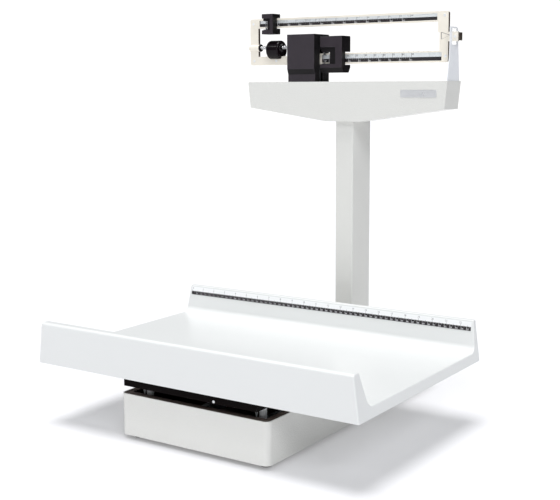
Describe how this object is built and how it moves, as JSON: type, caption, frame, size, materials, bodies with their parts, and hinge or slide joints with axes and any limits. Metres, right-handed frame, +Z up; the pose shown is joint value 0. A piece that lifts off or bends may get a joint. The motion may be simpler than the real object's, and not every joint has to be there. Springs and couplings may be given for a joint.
{
  "type": "tray beam scale",
  "caption": "Mechanical medical beam scale with a shallow open-ended tray on a lever base, a rear column and a two-bar balance beam with sliding poises.",
  "frame": {"origin": "middle of the footprint, on the surface that the feet rest on", "axes": "+Z up; +X along the beam towards its tip; the user stands on the -Y side"},
  "size_m": [0.6038, 0.54, 0.6835],
  "materials": {
    "white_enamel": "semi-gloss warm white powder coat",
    "black_steel": "black paint",
    "rubber": "moulded rubber",
    "screw_zinc": "zinc plated",
    "grey_steel": "grey primer on cast iron and steel",
    "hard_steel": "ground hardened steel",
    "cover_black": "fine-textured black moulding",
    "plate_blank": "satin blank plate",
    "beam_nickel": "cast and nickel toned, satin",
    "strip_metal": "printed scale strip with white and black bands",
    "tab_bronze": "brown-grey nickel",
    "bright_steel": "polished",
    "poise_black": "satin black",
    "rider_brass": "plain brass",
    "tray_white": "cool white moulding, soft gloss",
    "tape_print": "printed white and black tape"
  },
  "bodies": {
    "base": {"base_shell": "white_enamel", "base_chassis": "black_steel", "rubber_feet": "rubber", "foot_screws": "screw_zinc", "fulcrum_stands": "grey_steel", "fulcrum_bearings": "hard_steel", "column_flange": "white_enamel", "column_screws": "screw_zinc", "column_tube": "white_enamel", "head_shelf": "grey_steel", "head_shell": "white_enamel", "head_back_cover": "white_enamel", "head_screws": "screw_zinc", "tip_guard": "white_enamel", "guard_screws": "screw_zinc", "beam_stand": "grey_steel", "beam_bearings": "hard_steel", "transfer_stand": "grey_steel", "transfer_bearings": "hard_steel", "fulcrum_cover": "cover_black", "cover_screws": "screw_zinc", "name_plate": "plate_blank"},
    "beam": {"beam_frame": "beam_nickel", "upper_scale_strip": "strip_metal", "lower_scale_strip": "strip_metal", "beam_rivets": "beam_nickel", "fulcrum_pivot": "hard_steel", "load_pivot": "hard_steel", "tip_tab": "tab_bronze"},
    "adjuster": {"balance_screw": "bright_steel", "screw_collar": "poise_black"},
    "counterweight": {"balance_weight": "poise_black"},
    "fine_poise": {"small_poise": "poise_black", "small_poise_index": "bright_steel", "small_poise_rider": "rider_brass"},
    "main_poise": {"large_poise": "poise_black", "large_poise_index": "bright_steel", "large_poise_pawl": "hard_steel", "large_poise_keeper": "hard_steel"},
    "link": {"beam_link": "bright_steel"},
    "transfer": {"transfer_lever": "grey_steel", "transfer_pivots": "hard_steel"},
    "rod": {"pull_rod": "bright_steel", "rod_stirrups": "bright_steel", "rod_nuts": "screw_zinc"},
    "long_lever": {"main_lever": "grey_steel", "main_lever_pivots": "hard_steel", "main_lever_seats": "hard_steel"},
    "cross_lever": {"short_lever": "grey_steel", "short_lever_pivots": "hard_steel"},
    "platform": {"platform_frame": "black_steel", "platform_posts": "bright_steel", "post_bearings": "hard_steel", "hold_down_clips": "bright_steel", "deck_screw": "screw_zinc", "tray": "tray_white", "measuring_tape": "tape_print", "tray_screws": "screw_zinc"}
  },
  "joints": [
    {"name": "beam_tilt", "type": "hinge", "parent": "base", "child": "beam", "pos_m": [-0.076, 0.22, 0.615], "axis": [0, -1, 0], "range_deg": [-1.05, 1.05]},
    {"name": "balance_travel", "type": "slide", "parent": "beam", "child": "counterweight", "axis": [1, 0, 0], "range_m": [-0.008, 0.008]},
    {"name": "balance_turn", "type": "hinge", "parent": "beam", "child": "adjuster", "pos_m": [-0.19, 0.22, 0.6222], "axis": [1, 0, 0], "range_deg": [-2881, 2881]},
    {"name": "small_poise_slide", "type": "slide", "parent": "beam", "child": "fine_poise", "axis": [1, 0, 0], "range_m": [0, 0.306]},
    {"name": "large_poise_slide", "type": "slide", "parent": "beam", "child": "main_poise", "axis": [1, 0, 0], "range_m": [0, 0.1665]},
    {"name": "link_lift", "type": "slide", "parent": "base", "child": "link", "axis": [0, 0, 1], "range_m": [-0.00052, 0.00052]},
    {"name": "transfer_rock", "type": "hinge", "parent": "base", "child": "transfer", "pos_m": [0.104, 0.22, 0.534], "axis": [0, -1, 0], "range_deg": [-0.1416, 0.1416]},
    {"name": "rod_lift", "type": "slide", "parent": "base", "child": "rod", "axis": [0, 0, 1], "range_m": [-0.000258, 0.000258]},
    {"name": "long_lever_rock", "type": "hinge", "parent": "base", "child": "long_lever", "pos_m": [0, -0.238, 0.052], "axis": [-1, 0, 0], "range_deg": [-0.0322, 0.0322]},
    {"name": "cross_lever_rock", "type": "hinge", "parent": "base", "child": "cross_lever", "pos_m": [0, 0.0988, 0.052], "axis": [1, 0, 0], "range_deg": [-0.0322, 0.0322]},
    {"name": "platform_sink", "type": "slide", "parent": "base", "child": "platform", "axis": [0, 0, 1], "range_m": [-0.0000124, 0.0000124]}
  ],
  "couplings": [
    {"joint": "link_lift", "follows": "beam_tilt", "m_per_rad": -0.028},
    {"joint": "transfer_rock", "follows": "beam_tilt", "ratio": 0.13462},
    {"joint": "rod_lift", "follows": "beam_tilt", "m_per_rad": -0.014},
    {"joint": "long_lever_rock", "follows": "beam_tilt", "ratio": 0.030568},
    {"joint": "cross_lever_rock", "follows": "beam_tilt", "ratio": 0.030568},
    {"joint": "platform_sink", "follows": "beam_tilt", "m_per_rad": -0.00067249},
    {"joint": "balance_turn", "follows": "balance_travel", "rad_per_m": 6283.2}
  ]
}
